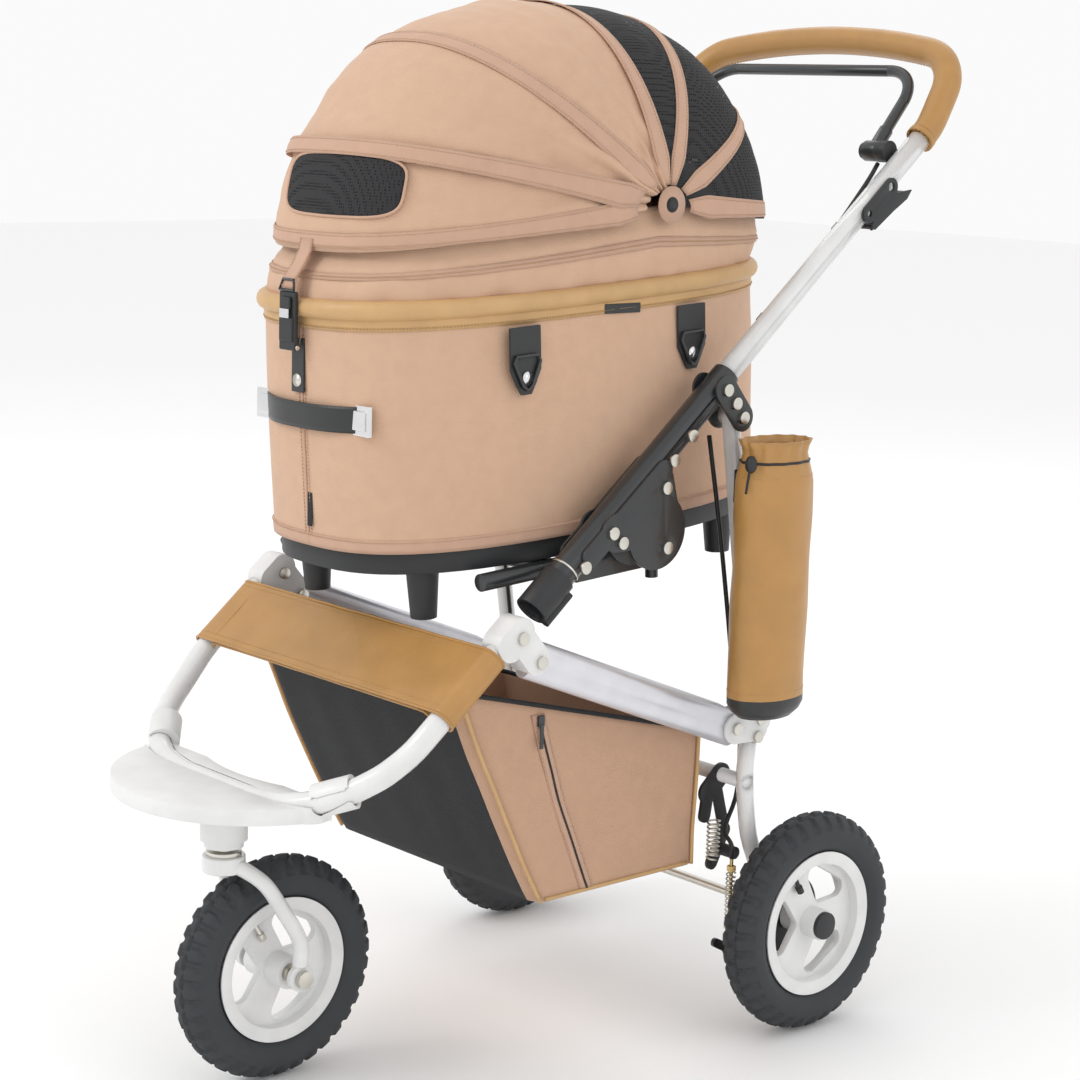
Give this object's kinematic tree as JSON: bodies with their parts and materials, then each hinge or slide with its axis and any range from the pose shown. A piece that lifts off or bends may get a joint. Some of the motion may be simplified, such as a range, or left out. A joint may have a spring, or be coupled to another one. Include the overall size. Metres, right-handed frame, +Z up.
{
  "type": "pet stroller",
  "caption": "Pet stroller with a lift-off fabric cot, a folding hood, a folding tubular frame, a front caster wheel, a basket and a hand brake bar.",
  "frame": {"origin": "on the floor, below the middle of the whole part's box", "axes": "+Z up, -Y is the front (the footplate and caster side), +X is the stroller's side that carries the bottle bag"},
  "size_m": [0.564, 0.9714, 1.1042],
  "materials": {
    "white_tube": "gloss",
    "white_plastic": "satin",
    "alu": "satin",
    "steel": "satin",
    "zinc": "satin",
    "black_metal": "satin",
    "black_plastic": "matte",
    "cable_black": "matte",
    "tyre": "matte",
    "tan_leather": "satin",
    "rose_fabric": "matte",
    "trim_fabric": "matte",
    "black_fabric": "matte"
  },
  "bodies": {
    "chassis": {"head_housing": "white_plastic", "front_u_tube": "white_tube", "footplate": "white_plastic", "footrest_cover": "tan_leather", "front_bracket_right": "white_plastic", "front_bracket_left": "white_plastic", "side_rail_right": "alu", "side_rail_left": "alu", "rear_bracket_right": "white_plastic", "rear_bracket_left": "white_plastic", "chassis_bolts": "steel", "rear_leg_right": "white_tube", "rear_leg_left": "white_tube", "rear_cross_tube": "white_tube", "rear_axle": "steel", "brake_plates": "black_plastic", "brake_springs": "steel", "brake_cable_lower": "cable_black", "basket": "rose_fabric"},
    "fork": {"front_fork": "white_tube", "caster_stem": "steel", "front_axle_bolt": "steel"},
    "front_wheel": {"front_tyre": "tyre", "front_rim": "white_plastic", "front_wheel_fittings": "steel"},
    "rear_wheel_right": {"rear_tyre_right": "tyre", "rear_rim_right": "white_plastic", "rear_fittings_right": "black_plastic"},
    "rear_wheel_left": {"rear_tyre_left": "tyre", "rear_rim_left": "white_plastic", "rear_fittings_left": "black_plastic"},
    "struts": {"strut_right": "white_tube", "strut_left": "white_tube", "brake_cable_middle": "cable_black", "bottle_bag": "tan_leather"},
    "upper_frame": {"upper_tube_right": "black_metal", "upper_tube_left": "black_metal", "hinge_plates": "black_metal", "upper_rivets": "steel", "handle_tube": "white_tube", "handle_grip": "tan_leather", "brake_bar_pivots": "black_plastic", "brake_cable_upper": "cable_black", "cot_support": "black_metal"},
    "latch_right": {"latch_sleeve_right": "black_plastic"},
    "latch_left": {"latch_sleeve_left": "black_plastic"},
    "hand_bar": {"brake_bar": "black_metal"},
    "brake_lever_right": {"brake_arm_right": "black_metal"},
    "brake_lever_left": {"brake_arm_left": "black_metal"},
    "fold_lever_right": {"release_lever_right": "black_plastic"},
    "fold_lever_left": {"release_lever_left": "black_plastic"},
    "cot": {"cot_tray": "black_plastic", "cot_body": "rose_fabric", "cot_rim": "trim_fabric", "canopy_skirt": "rose_fabric", "canopy_rear": "black_fabric", "canopy_pivots": "black_plastic", "cot_straps": "black_fabric"},
    "canopy_mid": {"canopy_middle": "rose_fabric"},
    "canopy_hood": {"canopy_front": "rose_fabric"},
    "clasp": {"front_buckle": "black_plastic"}
  },
  "joints": [
    {"name": "caster_swivel", "type": "hinge", "parent": "chassis", "child": "fork", "pos_m": [-0.008, -0.3797, 0.26], "axis": [0, 0, 1], "continuous": true},
    {"name": "front_wheel_spin", "type": "hinge", "parent": "fork", "child": "front_wheel", "pos_m": [-0.008, -0.3177, 0.118], "axis": [1, 0, 0], "continuous": true},
    {"name": "rear_wheel_right_spin", "type": "hinge", "parent": "chassis", "child": "rear_wheel_right", "pos_m": [0.237, 0.2233, 0.122], "axis": [1, 0, 0], "continuous": true},
    {"name": "rear_wheel_left_spin", "type": "hinge", "parent": "chassis", "child": "rear_wheel_left", "pos_m": [-0.253, 0.2233, 0.122], "axis": [1, 0, 0], "continuous": true},
    {"name": "frame_fold", "type": "hinge", "parent": "chassis", "child": "struts", "pos_m": [-0.008, 0.1698, 0.3505], "axis": [1, 0, 0], "range_deg": [0, 45]},
    {"name": "upper_fold", "type": "hinge", "parent": "struts", "child": "upper_frame", "pos_m": [-0.008, 0.11751, 0.68244], "axis": [1, 0, 0], "range_deg": [-102.56, 0]},
    {"name": "latch_right_slide", "type": "slide", "parent": "upper_frame", "child": "latch_right", "axis": [0, 0.766, 0.6428], "range_m": [0, 0.008]},
    {"name": "latch_left_slide", "type": "slide", "parent": "upper_frame", "child": "latch_left", "axis": [0, 0.766, 0.6428], "range_m": [0, 0.008]},
    {"name": "brake_squeeze", "type": "hinge", "parent": "upper_frame", "child": "hand_bar", "pos_m": [-0.008, 0.3643, 0.956], "axis": [-1, 0, 0], "range_deg": [0, 8], "stiffness_Nm_per_rad": 6, "springref_deg": -6.88},
    {"name": "brake_arm_right_turn", "type": "hinge", "parent": "chassis", "child": "brake_lever_right", "pos_m": [0.197, 0.1973, 0.104], "axis": [-1, 0, 0], "range_deg": [0, 8]},
    {"name": "brake_arm_left_turn", "type": "hinge", "parent": "chassis", "child": "brake_lever_left", "pos_m": [-0.213, 0.1973, 0.104], "axis": [-1, 0, 0], "range_deg": [0, 8]},
    {"name": "fold_lever_right_turn", "type": "hinge", "parent": "upper_frame", "child": "fold_lever_right", "pos_m": [0.192, 0.30438, 0.89067], "axis": [1, 0, 0], "range_deg": [0, 5], "stiffness_Nm_per_rad": 1, "springref_deg": -17.19},
    {"name": "fold_lever_left_turn", "type": "hinge", "parent": "upper_frame", "child": "fold_lever_left", "pos_m": [-0.208, 0.30438, 0.89067], "axis": [1, 0, 0], "range_deg": [0, 5], "stiffness_Nm_per_rad": 1, "springref_deg": -17.19},
    {"name": "cot_lift", "type": "slide", "parent": "chassis", "child": "cot", "axis": [0, 0, 1], "range_m": [0, 0.45]},
    {"name": "canopy_fold", "type": "hinge", "parent": "cot", "child": "canopy_hood", "pos_m": [-0.008, 0.0523, 0.9], "axis": [-1, 0, 0], "range_deg": [0, 58]},
    {"name": "canopy_mid_fold", "type": "hinge", "parent": "cot", "child": "canopy_mid", "pos_m": [-0.008, 0.0523, 0.9], "axis": [-1, 0, 0], "range_deg": [0, 27.84]},
    {"name": "clasp_swing", "type": "hinge", "parent": "cot", "child": "clasp", "pos_m": [-0.008, -0.30422, 0.75543], "axis": [1, 0, 0], "range_deg": [0, 80]}
  ],
  "couplings": [
    {"joint": "upper_fold", "follows": "frame_fold", "ratio": -2.2792},
    {"joint": "cot_lift", "follows": "frame_fold", "m_per_rad": 0.57296},
    {"joint": "brake_arm_right_turn", "follows": "brake_squeeze", "ratio": 1},
    {"joint": "brake_arm_left_turn", "follows": "brake_squeeze", "ratio": 1},
    {"joint": "canopy_mid_fold", "follows": "canopy_fold", "ratio": 0.48}
  ]
}
